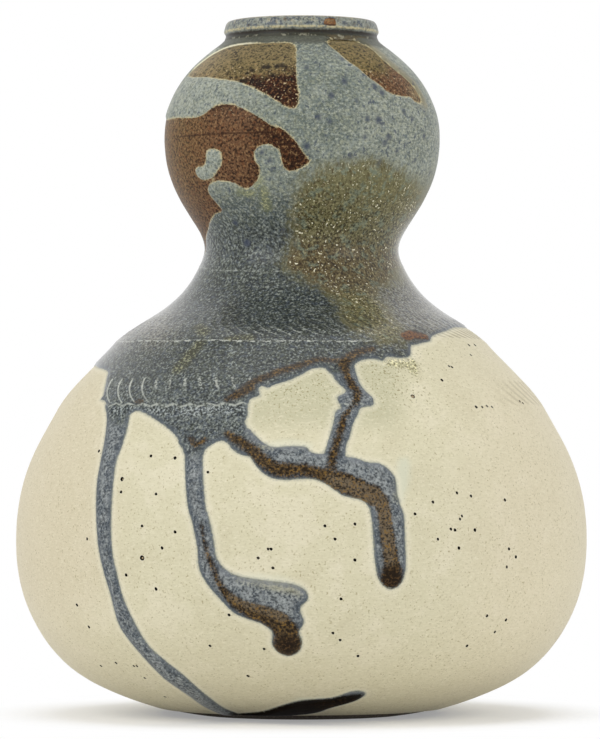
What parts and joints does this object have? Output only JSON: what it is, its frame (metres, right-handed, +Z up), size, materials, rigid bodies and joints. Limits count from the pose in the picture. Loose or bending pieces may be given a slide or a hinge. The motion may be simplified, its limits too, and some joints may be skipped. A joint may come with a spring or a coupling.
{
  "type": "gourd vase",
  "caption": "Double-gourd stoneware vase with a small lipped mouth, waist, ridged shoulder and wide low belly; runs of glaze down a pale body; stands on a ring foot.",
  "frame": {"origin": "centre of the foot, on the surface that the vase stands on", "axes": "+Z up through the mouth; -Y towards the front that the picture shows; +X to the right"},
  "size_m": [0.247, 0.247, 0.3],
  "materials": {
    "clay": "bare fired stoneware, buff, trimming lines",
    "joining_slip": "fired slip, matt",
    "cream_glaze": "satin, fine pits and specks",
    "iron_slip": "satin, dark red-brown with pale flecks",
    "blue_glaze": "satin, breaks pale on edges, cobalt specks",
    "ash_glaze": "satin, olive brown with pale crystals",
    "run_glaze": "glossier, blue-grey edge with a brown core",
    "liner_glaze": "satin, plain"
  },
  "bodies": {
    "root": {"lower_bowl": "clay", "shoulder_section": "clay", "upper_bulb": "clay", "collar": "clay", "bowl_seam_slip": "joining_slip", "waist_seam_slip": "joining_slip", "collar_seam_slip": "joining_slip", "bowl_seam_coil": "clay", "waist_seam_coil": "clay", "liner_glaze": "liner_glaze", "cream_glaze": "cream_glaze", "iron_slip": "iron_slip", "blue_glaze": "blue_glaze", "ash_glaze_flow": "ash_glaze", "left_run": "run_glaze", "left_drip": "run_glaze", "centre_drip": "run_glaze", "link_run": "run_glaze", "foot_run": "run_glaze", "back_left_run": "run_glaze", "back_drip": "run_glaze", "back_right_run": "run_glaze"}
  },
  "joints": []
}
